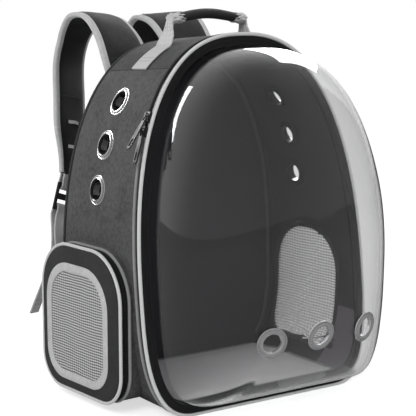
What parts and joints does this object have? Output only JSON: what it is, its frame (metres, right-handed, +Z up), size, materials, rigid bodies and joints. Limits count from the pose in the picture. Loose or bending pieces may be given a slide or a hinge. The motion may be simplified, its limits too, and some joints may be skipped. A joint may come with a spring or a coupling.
{
  "type": "bubble pet carrier backpack",
  "caption": "Arched pet carrier backpack with a clear bubble front, eyelets, a mesh side window, a side pocket, a top handle and padded shoulder straps.",
  "frame": {"origin": "centre of the flat underside of the base, on the surface the bag stands on", "axes": "+Z up, -Y out of the bubble front, +Y out of the padded back with the straps, -X the wearer's left side with the pocket"},
  "size_m": [0.349, 0.4725, 0.4482],
  "materials": {
    "heather_cloth": "heathered dark grey oxford cloth",
    "charcoal_cloth": "plain charcoal cloth",
    "black_trim": "black woven band, tape and binding",
    "pale_trim": "pale grey webbing, binding and piping",
    "grey_trim": "mid grey piping and mat cover",
    "net": "light grey ribbed net",
    "clear_plastic": "clear moulded plastic",
    "chrome_ring": "bright chrome",
    "black_plastic": "black moulded plastic"
  },
  "bodies": {
    "carrier": {"lower_gusset": "heather_cloth", "top_gusset": "heather_cloth", "back_panel": "charcoal_cloth", "back_binding": "black_trim", "outer_piping": "grey_trim", "zipper_tape": "black_trim", "door_piping": "pale_trim", "door_band": "black_trim", "floor_mat": "grey_trim", "side_window_mesh": "net", "side_window_binding": "charcoal_cloth", "dome": "clear_plastic", "dome_grommet_1": "chrome_ring", "dome_grommet_2": "chrome_ring", "dome_grommet_3": "chrome_ring", "eyelet_left_1": "chrome_ring", "eyelet_washer_left_1": "black_plastic", "eyelet_left_2": "chrome_ring", "eyelet_washer_left_2": "black_plastic", "eyelet_left_3": "chrome_ring", "eyelet_washer_left_3": "black_plastic", "eyelet_right_1": "chrome_ring", "eyelet_washer_right_1": "black_plastic", "eyelet_right_2": "chrome_ring", "eyelet_washer_right_2": "black_plastic", "eyelet_right_3": "chrome_ring", "eyelet_washer_right_3": "black_plastic", "pocket_gusset": "heather_cloth", "pocket_strip": "grey_trim", "pocket_zipper": "black_trim", "pocket_piping": "pale_trim", "pocket_face": "charcoal_cloth", "pocket_window_binding": "pale_trim", "pocket_window_mesh": "net", "slider_upper": "black_plastic", "slider_lower": "black_plastic", "slider_pocket": "black_plastic", "handle_grip": "charcoal_cloth", "handle_webbing_left": "pale_trim", "strap_pad_left": "charcoal_cloth", "strap_tongue_left": "pale_trim", "strap_adjuster_left": "black_plastic", "strap_webbing_left": "pale_trim", "strap_tab_left": "charcoal_cloth", "handle_webbing_right": "pale_trim", "strap_pad_right": "charcoal_cloth", "strap_tongue_right": "pale_trim", "strap_adjuster_right": "black_plastic", "strap_webbing_right": "pale_trim", "strap_tab_right": "charcoal_cloth"},
    "upper_pull": {"pull_upper": "black_plastic"},
    "lower_pull": {"pull_lower": "black_plastic"},
    "pocket_pull": {"pull_pocket": "black_plastic"}
  },
  "joints": [
    {"name": "pull_upper_hinge", "type": "hinge", "parent": "carrier", "child": "upper_pull", "pos_m": [-0.13315, -0.05438, 0.33213], "axis": [-0.0157, 0.9934, -0.114], "range_deg": [0, 90]},
    {"name": "pull_lower_hinge", "type": "hinge", "parent": "carrier", "child": "lower_pull", "pos_m": [-0.13961, -0.0563, 0.31616], "axis": [-0.0123, 0.9931, -0.1163], "range_deg": [0, 15]},
    {"name": "pull_pocket_hinge", "type": "hinge", "parent": "carrier", "child": "pocket_pull", "pos_m": [-0.18022, 0.10073, 0.098], "axis": [0.9981, 0.061, 0], "range_deg": [0, 100]}
  ]
}
